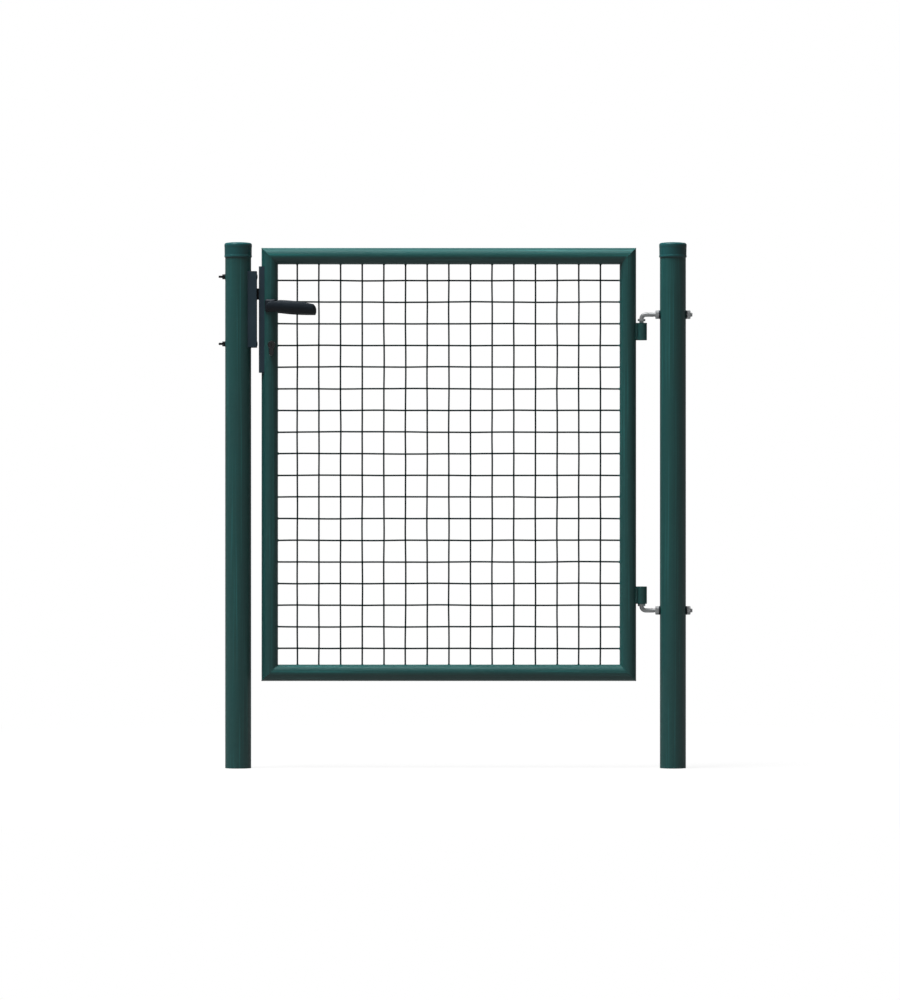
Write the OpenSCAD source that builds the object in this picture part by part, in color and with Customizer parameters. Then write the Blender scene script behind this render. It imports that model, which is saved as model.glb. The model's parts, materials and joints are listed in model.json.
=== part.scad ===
// Pedestrian gate: a tubular leaf filled with welded mesh, hung between two round posts.
// Millimetres, +Z up. The origin is the centre of the hinge post's foot at ground level.
// The leaf lies in the X-Z plane, the latch side is -X and the front is -Y.

/* [Posts] */
// Distance between the two post centres
post_pitch = 1004; // [1003:1:1010]
// Outside diameter of a post tube
post_d = 60; // [58:0.5:62]
// Wall of a post tube
post_wall = 2; // [1.5:0.1:3]
// Height of a post tube above the ground
post_h = 1211; // [1195:1:1300]
// Outside diameter of a post cap
cap_d = 63.6; // [63:0.1:66]
// Height of a post cap's skirt, below the top of the tube
cap_skirt = 32; // [20:1:45]
// Thickness of the middle of a post cap
cap_top = 3.4; // [2:0.1:6]

/* [Leaf] */
// Width of the leaf over its stiles
leaf_w = 865; // [863:1:866]
// Height of the leaf over its rails
leaf_h = 1000; // [1000:1:1004]
// Height of the leaf's lower edge above the ground
leaf_lift = 201; // [190:1:201]
// Distance from the hinge post's centre to the leaf
hinge_side = 85; // [84:1:86]
// Outside diameter of the frame tube
tube_d = 38; // [36:0.5:40]
// Wall of the frame tube
tube_wall = 1.5; // [1:0.1:2]

/* [Mesh] */
// Distance between neighbouring wires
mesh_pitch = 50; // [50:1:52]
// Number of upright wires
uprights = 15; // [10:1:15]
// Number of level wires
levels = 18; // [10:1:18]
// Wire diameter
wire_d = 3.8; // [3:0.1:5]

/* [Hinges] */
// Diameter of the bent hinge bolts
bolt_d = 10; // [9:0.5:10]
// Outside diameter of a hinge barrel
barrel_d = 25; // [24:0.5:26]
// Length of a hinge barrel
barrel_h = 40; // [30:1:44]
// Height of the lower hinge bolt above the ground
lower_arm_z = 364; // [350:1:400]
// Height of the upper hinge bolt above the ground
upper_arm_z = 1047; // [1000:1:1060]

/* [Lock] */
// Height of the lever's axis above the ground
lever_z = 1064; // [1062:1:1066]
// Height of the key plug's axis above the ground
key_z = 977; // [974:1:980]
// Height of the strike box
strike_h = 176; // [170:1:176]
// Distance from the latch post to the strike box's face
strike_out = 13; // [11:0.5:13]
// Height of the forend plate
forend_h = 245; // [235:1:250]
// Distance from the stile to the forend plate's face
forend_out = 5.8; // [4.8:0.1:5.8]
// Length of a lever from its axis to its tip
lever_len = 102; // [95:1:115]

/* [Hidden] */
$fn = 64;

GREEN = "#1f5a52";
DARK_GREEN = "#1a463f";
SLATE = "#2a343b";
BLACK = "#17181a";
ZINC = "#b4b8bb";
NICKEL = "#c9c7c0";
WIRE = "#22403d";

post_r = post_d / 2;
tube_r = tube_d / 2;
latch_post_x = -post_pitch;

// The leaf's outline, its tube centres and the clear space inside its frame
leaf_right = -hinge_side;
leaf_left = leaf_right - leaf_w;
leaf_bottom = leaf_lift;
leaf_top = leaf_lift + leaf_h;
hinge_stile_x = leaf_right - tube_r;
latch_stile_x = leaf_left + tube_r;
mid_x = (leaf_left + leaf_right) / 2;
mid_z = (leaf_bottom + leaf_top) / 2;

// Wires: the bars' radius over their corners, and how deep they sink into each other
wire_bar_r = 1.1 * wire_d / 2;
wire_sunk = 0.4;

// Hinge line: the barrels are tangent to the hinge stile
barrel_r = barrel_d / 2;
pin_x = leaf_right + barrel_r;
bend_r = bolt_d;
running_gap = 0.3;
pin_collar_d = 17.5;
pin_collar_t = 5;
pin_short = 3;
nut_af = 17;
nut_t = 8;
washer_d = 20;
washer_t = 2.5;
bolt_past_post = 15;
upper_gap = 4;
upper_barrel_z = upper_arm_z - bend_r - pin_collar_t - upper_gap - barrel_h;
lower_barrel_z = lower_arm_z + bend_r + pin_collar_t + running_gap;

// Strike box on the latch post, held by two through bolts
strike_w = 40;
strike_t = 2.5;
strike_mid_z = 1059;
strike_face_x = latch_post_x + post_r + strike_out;
strike_bolt_d = 6;
strike_bolt_span = 155;
strike_head_d = 13;
strike_head_t = 2;
strike_nut_af = 10;
strike_nut_t = 5;
strike_washer_d = 12.4;
strike_washer_t = 1.6;
strike_bolt_past_post = 15;

// Latch bolt and dead bolt
latch_len = 32;
latch_t = 12;
latch_h = 26;
latch_z = lever_z + 30.5;
latch_throw = 12;
dead_bolt_z = key_z + 28;
slot_gap = 0.6;
forend_w = 30;
forend_mid_z = 1035.5;
forend_face_x = leaf_left - forend_out;
forend_screw_span = 220;

// Lock case inside the latch stile
case_w = 17;
case_wall = 1.5;
case_depth = 30;
case_bottom = key_z - 32;
case_top = latch_z + 22;

// Key cylinder, levers and roses, whose axes lie a little inward of the stile's
lock_offset = 4.5;
lock_x = latch_stile_x + lock_offset;
cylinder_len = 54;
cylinder_r = 8.5;
cylinder_h = 33;
cylinder_stem = 10;
plug_r = 6.4;
plug_len = 12;
rose_left = 15.5;
rose_right = 13;
rose_top = 18;
rose_bottom = 11.5;
rose_corner_r = 5;
rose_face_y = 23;
rose_round_r = 24.5;
rose_bore_r = 7.8;
spigot_r = 7.5;
spindle_w = 8;
spindle_len = 80;
boss_r = 11;
grip_round_r = 11.5;
grip_start = 19;
grip_y = 44;
grip_t = 17;
grip_face_r = 24;
grip_tip_top = 5.6;
grip_tip_bottom = -16.4;

// ---- shapes used by several pieces ----

// Points of an arc about [x, y], both ends included
function arc(x, y, r, from, to, steps) =
    [for (i = [0 : steps]) let (a = from + (to - from) * i / steps) [x + r * cos(a), y + r * sin(a)]];

// Points of a quadratic curve from p to r, without its first point
function curve(p, q, r, steps) =
    [for (i = [1 : steps]) let (t = i / steps) (1 - t) ^ 2 * p + 2 * t * (1 - t) * q + t ^ 2 * r];

// A cylinder along X, from x = 0
module rod_x(d, len, sides = 64) {
    rotate([0, 90, 0])
        cylinder(d = d, h = len, $fn = sides);
}

// A cylinder along Y, centred on the origin
module rod_y(r, len) {
    rotate([90, 0, 0])
        cylinder(r = r, h = len, center = true);
}

// A flat ring with its axis along Z
module ring(outer_d, inner_d, t) {
    difference() {
        cylinder(d = outer_d, h = t);
        translate([0, 0, -1])
            cylinder(d = inner_d, h = t + 2);
    }
}

// A hexagon nut with its corners chamfered at both ends, axis along Z
module hex_nut(af, bore_d, t) {
    corner_r = af / sqrt(3);
    chamfer = corner_r - af / 2;
    difference() {
        intersection() {
            cylinder(r = corner_r, h = t, $fn = 6);
            rotate_extrude()
                polygon([
                    [0, 0], [corner_r - chamfer, 0], [corner_r, chamfer * 0.6],
                    [corner_r, t - chamfer * 0.6], [corner_r - chamfer, t], [0, t]
                ]);
        }
        translate([0, 0, -1])
            cylinder(d = bore_d, h = t + 2);
    }
}

// Places a piece whose axis is Z so that it points along +X from a face at x
module on_face(x, z) {
    translate([x, 0, z])
        rotate([0, 90, 0])
            children();
}

// ---- posts ----

module post_tube(hole_d, hole_heights) {
    difference() {
        cylinder(d = post_d, h = post_h);
        translate([0, 0, -1])
            cylinder(d = post_d - 2 * post_wall, h = post_h + 2);
        for (z = hole_heights)
            translate([-post_d, 0, z])
                rod_x(hole_d, 2 * post_d);
    }
}

// A pressed-on plastic cap: a skirt with a bead at its lip, a shoulder and a low dome
module post_cap() {
    r = cap_d / 2;
    translate([0, 0, post_h])
        difference() {
            rotate_extrude($fn = 96)
                polygon([
                    [0, -cap_skirt], [r - 0.9, -cap_skirt], [r, -cap_skirt + 1.2],
                    [r, -cap_skirt + 4], [r - 0.5, -cap_skirt + 5.5], [r - 0.3, -9],
                    [r, -7.5], [r, -2.2], [r - 1.2, 0.2], [r - 3.6, 1.6],
                    [r * 0.6, cap_top - 0.7], [r * 0.3, cap_top - 0.15], [0, cap_top]
                ]);
            translate([0, 0, -cap_skirt - 1])
                cylinder(d = post_d, h = cap_skirt + 1);
        }
}

module hinge_post() {
    color(GREEN)
        post_tube(bolt_d + 1, [lower_arm_z, upper_arm_z]);
}

module hinge_post_cap() {
    color(DARK_GREEN)
        post_cap();
}

function strike_bolt_z(side) = strike_mid_z - 2 + side * strike_bolt_span / 2;

module latch_post() {
    color(GREEN)
        translate([latch_post_x, 0, 0])
            post_tube(strike_bolt_d + 0.6, [strike_bolt_z(-1), strike_bolt_z(1)]);
}

module latch_post_cap() {
    color(DARK_GREEN)
        translate([latch_post_x, 0, 0])
            post_cap();
}

// ---- hinge bolts, drawn for an upright pin that points to +Z ----

module bent_bolt() {
    arm_end = post_r + bolt_past_post;
    pin_len = pin_collar_t + running_gap + barrel_h - pin_short;
    translate([pin_x + bend_r, 0, 0])
        rod_x(bolt_d, arm_end - pin_x - bend_r);
    translate([pin_x + bend_r, 0, bend_r])
        rotate([90, 0, 0])
            rotate([0, 0, 180])
                rotate_extrude(angle = 90, $fn = 96)
                    translate([bend_r, 0])
                        circle(d = bolt_d, $fn = 48);
    translate([pin_x, 0, bend_r])
        cylinder(d = bolt_d, h = pin_len);
}

// Turns a bolt set upside down for the upper hinge
module flipped(z) {
    translate([0, 0, z])
        mirror([0, 0, 1])
            children();
}

module hinge_bolt(z, upper) {
    color(ZINC)
        if (upper) {
            flipped(z)
                bent_bolt();
        } else {
            translate([0, 0, z])
                bent_bolt();
        }
}

// A plastic washer that keeps a nut off the post's coat
module arm_washer(x, z) {
    color(BLACK)
        on_face(x, z)
            ring(washer_d, bolt_d, washer_t);
}

module arm_nut(x, z) {
    color(ZINC)
        on_face(x, z)
            hex_nut(nut_af, bolt_d, nut_t);
}

// A collar on the pin, between the bend and the barrel
module pin_collar(z) {
    color(ZINC)
        translate([pin_x, 0, z])
            ring(pin_collar_d, bolt_d, pin_collar_t);
}

module upper_hinge_bolt() { hinge_bolt(upper_arm_z, true); }
module upper_inner_washer() { arm_washer(-post_r - washer_t, upper_arm_z); }
module upper_inner_nut() { arm_nut(-post_r - washer_t - nut_t, upper_arm_z); }
module upper_outer_washer() { arm_washer(post_r, upper_arm_z); }
module upper_outer_nut() { arm_nut(post_r + washer_t, upper_arm_z); }
module upper_pin_collar() { pin_collar(upper_arm_z - bend_r - pin_collar_t); }
module lower_hinge_bolt() { hinge_bolt(lower_arm_z, false); }
module lower_inner_washer() { arm_washer(-post_r - washer_t, lower_arm_z); }
module lower_inner_nut() { arm_nut(-post_r - washer_t - nut_t, lower_arm_z); }
module lower_outer_washer() { arm_washer(post_r, lower_arm_z); }
module lower_outer_nut() { arm_nut(post_r + washer_t, lower_arm_z); }
module lower_pin_collar() { pin_collar(lower_arm_z + bend_r); }

// ---- strike box ----

// A slot through a plate that faces -X or +X
module bolt_slot(x, z, h, w, depth) {
    translate([x - depth, -w / 2, z - h / 2])
        cube([2 * depth, w, h]);
}

module strike_box() {
    depth = strike_out + post_r;
    color(SLATE)
        difference() {
            translate([strike_face_x - depth, -strike_w / 2, strike_mid_z - strike_h / 2])
                cube([depth, strike_w, strike_h]);
            translate([strike_face_x - depth - strike_t, -strike_w / 2 + strike_t,
                       strike_mid_z - strike_h / 2 + strike_t])
                cube([depth, strike_w - 2 * strike_t, strike_h - 2 * strike_t]);
            translate([latch_post_x, 0, 0])
                cylinder(d = post_d, h = post_h);
            bolt_slot(strike_face_x, latch_z, latch_h + 6, latch_t + 4, 2 * strike_t);
            bolt_slot(strike_face_x, dead_bolt_z, latch_h + 4, latch_t + 4, 2 * strike_t);
            for (side = [-1, 1])
                translate([strike_face_x - 2 * strike_t, 0, strike_bolt_z(side)])
                    rod_x(strike_bolt_d + 0.4, 4 * strike_t);
        }
}

// A mushroom-headed bolt that points to -X, from the strike box through the post
module strike_bolt(z) {
    shank = strike_face_x - latch_post_x + post_r + strike_bolt_past_post;
    color(BLACK)
        translate([strike_face_x, 0, z]) {
            translate([-shank, 0, 0])
                rod_x(strike_bolt_d, shank);
            rotate([0, 90, 0])
                rotate_extrude()
                    polygon([
                        [0, 0], [strike_head_d / 2, 0], [strike_head_d / 2, 0.5],
                        [strike_head_d / 2 - 0.9, 1.1], [strike_head_d / 2 - 2.6, 1.7],
                        [1.5, strike_head_t], [0, strike_head_t]
                    ]);
        }
}

module strike_washer(z) {
    color(BLACK)
        on_face(latch_post_x - post_r - strike_washer_t, z)
            ring(strike_washer_d, strike_bolt_d, strike_washer_t);
}

module strike_nut(z) {
    color(BLACK)
        on_face(latch_post_x - post_r - strike_washer_t - strike_nut_t, z)
            hex_nut(strike_nut_af, strike_bolt_d, strike_nut_t);
}

module upper_strike_bolt() { strike_bolt(strike_bolt_z(1)); }
module upper_strike_washer() { strike_washer(strike_bolt_z(1)); }
module upper_strike_nut() { strike_nut(strike_bolt_z(1)); }
module lower_strike_bolt() { strike_bolt(strike_bolt_z(-1)); }
module lower_strike_washer() { strike_washer(strike_bolt_z(-1)); }
module lower_strike_nut() { strike_nut(strike_bolt_z(-1)); }

// ---- leaf frame ----

// A tube along Z, centred at the origin, mitred at both ends towards +X
module mitred_tube(len) {
    intersection() {
        difference() {
            cylinder(d = tube_d, h = len, center = true);
            cylinder(d = tube_d - 2 * tube_wall, h = len + 2, center = true);
        }
        rotate([90, 0, 0])
            linear_extrude(tube_d + 4, center = true)
                polygon([
                    [-tube_r, -len / 2], [tube_r, -len / 2 + tube_d],
                    [tube_r, len / 2 - tube_d], [-tube_r, len / 2]
                ]);
    }
}

// The outline of a profile cylinder, round above and narrow below, in X-Z about its plug
module cylinder_outline(gap) {
    circle(r = cylinder_r + gap);
    translate([-cylinder_stem / 2 - gap, -cylinder_h + cylinder_r + cylinder_stem / 2])
        square([cylinder_stem + 2 * gap, cylinder_h - cylinder_r - cylinder_stem / 2]);
    translate([0, -cylinder_h + cylinder_r + cylinder_stem / 2])
        circle(d = cylinder_stem + 2 * gap);
}

// A prism of a cylinder outline along Y through the latch stile
module cylinder_prism(gap, len) {
    translate([lock_x, 0, key_z])
        rotate([90, 0, 0])
            linear_extrude(len, center = true)
                cylinder_outline(gap);
}

module latch_stile() {
    color(GREEN)
        difference() {
            translate([latch_stile_x, 0, mid_z])
                mitred_tube(leaf_h);
            translate([leaf_left - 1, -case_w / 2 - 0.3, case_bottom - 1])
                cube([tube_r, case_w + 0.6, case_top - case_bottom + 2]);
            translate([lock_x, 0, lever_z])
                rod_y(spigot_r, tube_d + 2);
            cylinder_prism(0.5, tube_d + 2);
        }
}

module hinge_stile() {
    color(GREEN)
        translate([hinge_stile_x, 0, mid_z])
            rotate([0, 0, 180])
                mitred_tube(leaf_h);
}

module top_rail() {
    color(GREEN)
        translate([mid_x, 0, leaf_top - tube_r])
            rotate([0, 90, 0])
                mitred_tube(leaf_w);
}

module bottom_rail() {
    color(GREEN)
        translate([mid_x, 0, leaf_bottom + tube_r])
            rotate([0, -90, 0])
                mitred_tube(leaf_w);
}

// A hexagonal bar along Z with the weight of a round wire, its flats towards -Y and +Y
module wire_bar(len) {
    cylinder(r = wire_bar_r, h = len, center = true, $fn = 6);
}

// Welded wires: uprights in front, level wires behind, sunk into each other where they cross
module mesh_panel() {
    clear_w = leaf_w - 2 * tube_d;
    clear_h = leaf_h - 2 * tube_d;
    wire_y = wire_bar_r * cos(30) - wire_sunk / 2;
    color(WIRE) {
        for (i = [0 : uprights - 1])
            translate([mid_x + (i - (uprights - 1) / 2) * mesh_pitch, -wire_y, mid_z])
                wire_bar(clear_h);
        for (i = [0 : levels - 1])
            translate([mid_x, wire_y, mid_z + (i - (levels - 1) / 2) * mesh_pitch])
                rotate([0, 90, 0])
                    wire_bar(clear_w);
    }
}

// ---- hinge barrels, with the welds that join them to the stile ----

module hinge_barrel(z) {
    weld_w = 9;
    color(GREEN)
        translate([0, 0, z])
            difference() {
                union() {
                    translate([pin_x, 0, 0])
                        cylinder(d = barrel_d, h = barrel_h);
                    translate([leaf_right - weld_w / 2, -weld_w, 2])
                        cube([weld_w, 2 * weld_w, barrel_h - 4]);
                }
                translate([hinge_stile_x, 0, -1])
                    cylinder(d = tube_d, h = barrel_h + 2);
                translate([pin_x, 0, -1])
                    cylinder(d = bolt_d + 2 * running_gap, h = barrel_h + 2);
            }
}

module upper_hinge_barrel() { hinge_barrel(upper_barrel_z); }
module lower_hinge_barrel() { hinge_barrel(lower_barrel_z); }

// ---- lock ----

module lock_forend() {
    color(SLATE)
        difference() {
            translate([forend_face_x, -forend_w / 2, forend_mid_z - forend_h / 2])
                cube([tube_r, forend_w, forend_h]);
            translate([latch_stile_x, 0, leaf_bottom])
                cylinder(d = tube_d, h = leaf_h);
            bolt_slot(leaf_left, latch_z, latch_h + 2 * slot_gap, latch_t + 2 * slot_gap, tube_r);
            bolt_slot(leaf_left, dead_bolt_z, latch_h + 2 * slot_gap, latch_t + 2 * slot_gap, tube_r);
            for (side = [-1, 1])
                translate([forend_face_x - 1, 0, forend_mid_z + side * forend_screw_span / 2])
                    rod_x(4.2, tube_r);
        }
}

// An open box inside the latch stile: its mouth faces the forend
module lock_case() {
    back_x = latch_stile_x + case_depth / 2;
    color(ZINC)
        difference() {
            translate([back_x - case_depth, -case_w / 2, case_bottom])
                cube([case_depth, case_w, case_top - case_bottom]);
            translate([back_x - case_depth - case_wall, -case_w / 2 + case_wall,
                       case_bottom + case_wall])
                cube([case_depth, case_w - 2 * case_wall, case_top - case_bottom - 2 * case_wall]);
            translate([lock_x, 0, lever_z])
                rod_y(spindle_w * 0.8, case_w + 2);
            cylinder_prism(0.2, case_w + 2);
        }
}

module dead_bolt() {
    color(ZINC)
        translate([forend_face_x + 0.3, -latch_t / 2, dead_bolt_z - latch_h / 2])
            cube([latch_len - 4, latch_t, latch_h]);
}

module lock_cylinder() {
    color(NICKEL)
        difference() {
            cylinder_prism(0, cylinder_len);
            for (side = [-1, 1])
                translate([lock_x, side * cylinder_len / 2, key_z])
                    rod_y(plug_r, 2 * plug_len);
        }
}

// A key plug with its keyway, at the front for side = -1 and at the back for side = 1
module key_plug(side) {
    color(NICKEL)
        translate([lock_x, side * (cylinder_len - plug_len) / 2, key_z])
            difference() {
                rod_y(plug_r, plug_len);
                translate([-1.1, side * plug_len / 4 - plug_len / 2, -4.6])
                    cube([2.2, plug_len, 8.6]);
            }
}

module front_key_plug() { key_plug(-1); }
module back_key_plug() { key_plug(1); }

// The rose's outline in X-Z about the lever's axis: a rounded rectangle, deeper above than below
module rose_outline() {
    r = rose_corner_r;
    polygon(concat(
        arc(rose_right - r, rose_top - r, r, 0, 90, 6),
        arc(-rose_left + r, rose_top - r, r, 90, 180, 6),
        arc(-rose_left + r, -rose_bottom + r, r, 180, 270, 6),
        arc(rose_right - r, -rose_bottom + r, r, 270, 360, 6)
    ));
}

// A saddle on the stile, flat in front and rounded at its sides, in which the spigot turns
module rose(side) {
    depth = rose_face_y - 5;
    color(BLACK)
        translate([lock_x, 0, lever_z])
            difference() {
                intersection() {
                    translate([0, side * (rose_face_y - depth / 2), 0])
                        rotate([90, 0, 0])
                            linear_extrude(depth, center = true)
                                rose_outline();
                    translate([-lock_offset, 0, 0])
                        cylinder(r = rose_round_r, h = 4 * rose_top, center = true);
                }
                translate([-lock_offset, 0, 0])
                    cylinder(d = tube_d, h = 4 * rose_top, center = true);
                rod_y(rose_bore_r, 4 * rose_face_y);
            }
}

module front_rose() { rose(-1); }
module back_rose() { rose(1); }

module spindle() {
    color(ZINC)
        translate([lock_x, 0, lever_z])
            cube([spindle_w, spindle_len, spindle_w], center = true);
}

// The grip seen from the front: a round hub, then a deeper handle that droops to a blunt tip
module grip_side() {
    hub = grip_round_r;
    top_start = [grip_start, hub + 3.8];
    bottom_start = [grip_start, -hub - 0.6];
    tip_top = [lever_len - 3.5, grip_tip_top];
    tip_bottom = [lever_len - 2.5, grip_tip_bottom];
    rotate([90, 0, 0])
        linear_extrude(3 * grip_t, center = true)
            polygon(concat(
                arc(0, 0, hub, 270, 90, 24),
                curve([0, hub], [11, hub], [15, hub + 1.9], 4),
                curve([15, hub + 1.9], [17, hub + 3.8], top_start, 3),
                curve(top_start, [grip_start + 36, hub + 3.4], tip_top, 12),
                curve(tip_top, [lever_len + 3.5, -5], tip_bottom, 8),
                curve(tip_bottom, [grip_start + 32, grip_tip_bottom - 0.4], bottom_start, 12),
                curve(bottom_start, [grip_start / 2, -hub - 0.2], [0, -hub], 4)
            ));
}

// The grip seen from above: an even bar with a rounded tip
module grip_plan() {
    tip_r = grip_t / 2 - 1;
    linear_extrude(4 * grip_round_r, center = true)
        polygon(concat(
            [[-grip_round_r - 1, -grip_t / 2]],
            arc(lever_len - tip_r, -grip_t / 2 + tip_r, tip_r, -90, 0, 8),
            arc(lever_len - tip_r, grip_t / 2 - tip_r, tip_r, 0, 90, 8),
            [[-grip_round_r - 1, grip_t / 2]]
        ));
}

// One of the two wide curved faces of the grip
module grip_face(side) {
    droop = atan(-(grip_tip_top + grip_tip_bottom) / 2 / lever_len);
    translate([0, side * (grip_face_r - grip_t / 2), 0])
        rotate([0, droop, 0])
            translate([-2 * grip_round_r, 0, 0])
                rod_x(2 * grip_face_r, lever_len + 4 * grip_round_r);
}

// The grip's section is a lens whose edges the side outline cuts off
module grip() {
    intersection() {
        grip_side();
        grip_plan();
        grip_face(-1);
        grip_face(1);
    }
}

// A lever at the front for side = -1 and at the back for side = 1; the grip points to +X
module lever(side) {
    boss_start_y = rose_face_y + running_gap;
    spigot_start_y = tube_r + running_gap;
    color(BLACK)
        translate([lock_x, 0, lever_z])
            difference() {
                union() {
                    translate([0, side * (boss_start_y + grip_y) / 2, 0])
                        rod_y(boss_r, grip_y - boss_start_y);
                    translate([0, side * (spigot_start_y + grip_y) / 2, 0])
                        rod_y(spigot_r, grip_y - spigot_start_y);
                    translate([0, side * grip_y, 0])
                        grip();
                }
                cube([spindle_w, spindle_len, spindle_w], center = true);
            }
}

module front_lever() { lever(-1); }
module back_lever() { lever(1); }

// A sprung bolt with one bevelled side, thrown into the strike box
module latch_bolt() {
    tip_x = forend_face_x - latch_throw;
    color(BLACK)
        translate([tip_x, 0, latch_z - latch_h / 2])
            linear_extrude(latch_h)
                polygon([
                    [0, -latch_t / 2], [latch_len, -latch_t / 2], [latch_len, latch_t / 2],
                    [latch_throw - 1, latch_t / 2], [1, -latch_t / 2 + 3], [0, -latch_t / 2 + 2]
                ]);
}

hinge_post();
hinge_post_cap();
latch_post();
latch_post_cap();
upper_hinge_bolt();
upper_inner_washer();
upper_inner_nut();
upper_outer_washer();
upper_outer_nut();
upper_pin_collar();
lower_hinge_bolt();
lower_inner_washer();
lower_inner_nut();
lower_outer_washer();
lower_outer_nut();
lower_pin_collar();
strike_box();
upper_strike_bolt();
upper_strike_washer();
upper_strike_nut();
lower_strike_bolt();
lower_strike_washer();
lower_strike_nut();
latch_stile();
hinge_stile();
top_rail();
bottom_rail();
mesh_panel();
upper_hinge_barrel();
lower_hinge_barrel();
lock_forend();
lock_case();
dead_bolt();
lock_cylinder();
front_key_plug();
back_key_plug();
front_rose();
back_rose();
spindle();
front_lever();
back_lever();
latch_bolt();
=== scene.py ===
"""Finishes for a pedestrian gate: wires, welds, threads, moulded levers, coats and a stage."""

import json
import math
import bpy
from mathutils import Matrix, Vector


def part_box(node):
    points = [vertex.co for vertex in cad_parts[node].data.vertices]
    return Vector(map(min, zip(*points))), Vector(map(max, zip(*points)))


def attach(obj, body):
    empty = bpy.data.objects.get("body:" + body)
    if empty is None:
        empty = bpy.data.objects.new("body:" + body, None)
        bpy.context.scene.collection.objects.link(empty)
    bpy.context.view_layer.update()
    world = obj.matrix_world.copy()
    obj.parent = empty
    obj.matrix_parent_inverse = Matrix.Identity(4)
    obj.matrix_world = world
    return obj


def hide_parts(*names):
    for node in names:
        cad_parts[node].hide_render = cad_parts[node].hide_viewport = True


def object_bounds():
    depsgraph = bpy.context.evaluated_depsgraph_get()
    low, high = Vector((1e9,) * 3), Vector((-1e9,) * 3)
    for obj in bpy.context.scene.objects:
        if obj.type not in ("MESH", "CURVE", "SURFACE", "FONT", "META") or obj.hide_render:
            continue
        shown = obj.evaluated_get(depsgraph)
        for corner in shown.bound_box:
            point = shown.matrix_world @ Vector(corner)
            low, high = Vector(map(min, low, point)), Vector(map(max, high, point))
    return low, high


bl_info = {
    "name": "Pedestrian Gate Finishes",
    "version": (1, 0, 0),
    "blender": (4, 5, 0),
    "location": "3D View > Sidebar > Gate",
    "description": "Wires, welds, threads, moulded levers, coats and a stage for a pedestrian gate",
    "category": "Object",
}

import bmesh
import bpy
from bpy.props import FloatProperty, FloatVectorProperty, IntProperty, PointerProperty
from bpy.types import Operator, Panel, PropertyGroup
from mathutils import Vector

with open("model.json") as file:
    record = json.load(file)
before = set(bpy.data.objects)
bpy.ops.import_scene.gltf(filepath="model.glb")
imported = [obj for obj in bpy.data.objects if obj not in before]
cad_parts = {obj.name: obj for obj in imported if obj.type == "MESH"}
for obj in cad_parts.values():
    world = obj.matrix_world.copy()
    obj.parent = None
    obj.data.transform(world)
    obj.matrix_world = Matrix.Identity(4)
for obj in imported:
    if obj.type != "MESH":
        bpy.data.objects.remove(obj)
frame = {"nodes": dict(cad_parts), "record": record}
CAD_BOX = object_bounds()
SLOTS = {part["node"]: part["material_slot"] for part in frame["record"]["subparts"]}
MM = 0.001
STEPS = 6.0  # points along a bar for each turn of its thread, and along a bead for each ripple
THREAD_DEPTH = 0.61  # of the pitch, as on metric threads


# ---- settings ----


def length(name, description, default):
    """A size in metres."""
    return FloatProperty(
        name=name, description=description, default=default, subtype="DISTANCE", precision=4
    )


def count(name, description, default):
    """A number of like things."""
    return IntProperty(name=name, description=description, default=default, min=1)


def share(name, description, default, top=1.0):
    """A plain number from 0 up."""
    return FloatProperty(name=name, description=description, default=default, min=0.0, max=top)


def power(name, description, default):
    """The power of a lamp."""
    return FloatProperty(name=name, description=description, default=default, min=0.0, unit="POWER")


def colour(name, description, default):
    """A colour, in linear light."""
    return FloatVectorProperty(
        name=name,
        description=description,
        default=default,
        size=3,
        min=0.0,
        max=1.0,
        subtype="COLOR",
    )


class GateMesh(PropertyGroup):
    """The welded mesh of the leaf."""

    pitch: length("Pitch", "Distance between neighbouring wires", 50 * MM)
    uprights: count("Uprights", "Number of upright wires", 15)
    levels: count("Levels", "Number of level wires", 18)
    wire: length("Wire", "Diameter of a wire", 3.8 * MM)
    sunk: length("Sunk", "How far crossing wires are pressed into each other", 0.4 * MM)
    wander: length("Wander", "How far a wire strays from its straight line", 1.4 * MM)
    step: length("Step", "Distance between the points along a wire", 11 * MM)
    sides: count("Sides", "Number of faces round a wire", 8)


class GateWelds(PropertyGroup):
    """The welds of the frame."""

    nugget: length("Nugget", "Diameter of the weld at a wire's end", 5.2 * MM)
    lumps: length("Lumps", "How uneven the welds at the wires' ends are", 0.9 * MM)
    bead: length("Bead", "Diameter of the weld bead beside a hinge barrel", 6.6 * MM)
    ripple: length("Ripple", "Distance between the ripples of a bead", 1.7 * MM)
    seam: length("Seam", "Diameter of the fine bead round a mitred corner", 2.4 * MM)
    proud: length("Proud", "How far the fine bead stands out of the tube", 0.45 * MM)


class GateHardware(PropertyGroup):
    """Bolts, screws and the lock."""

    hinge_thread: length("Hinge Thread", "Pitch of the thread on the hinge bolts", 1.5 * MM)
    strike_thread: length("Strike Thread", "Pitch of the thread on the strike bolts", 1.0 * MM)
    hinge_bend: length("Hinge Bend", "Radius of the hinge bolt's bend", 10 * MM)
    strike_shank: length("Strike Shank", "Diameter of the strike bolts", 6 * MM)
    folded_edge: length("Folded Edge", "Radius of the strike box's and forend's edges", 0.9 * MM)
    machined_edge: length("Machined Edge", "Radius of the latch and dead bolts' edges", 0.5 * MM)
    cylinder_edge: length("Cylinder Edge", "Radius of the edges on the key cylinder", 1.0 * MM)
    skin: length("Skin", "Fineness of the skin on levers and roses", 0.9 * MM)
    rounding: count("Rounding", "How often the skin's edges are rubbed round", 6)
    rose_slope: length("Rose Slope", "Width of the slope round a rose's face", 4.5 * MM)
    rose_fall: length("Rose Fall", "How deep that slope falls to the rose's edge", 3.5 * MM)
    screw_head: length("Screw Head", "Diameter of the forend's screws over the head", 8 * MM)
    screw_reach: length("Screw Reach", "Distance of the outer screws from the middle", 110 * MM)


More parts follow.
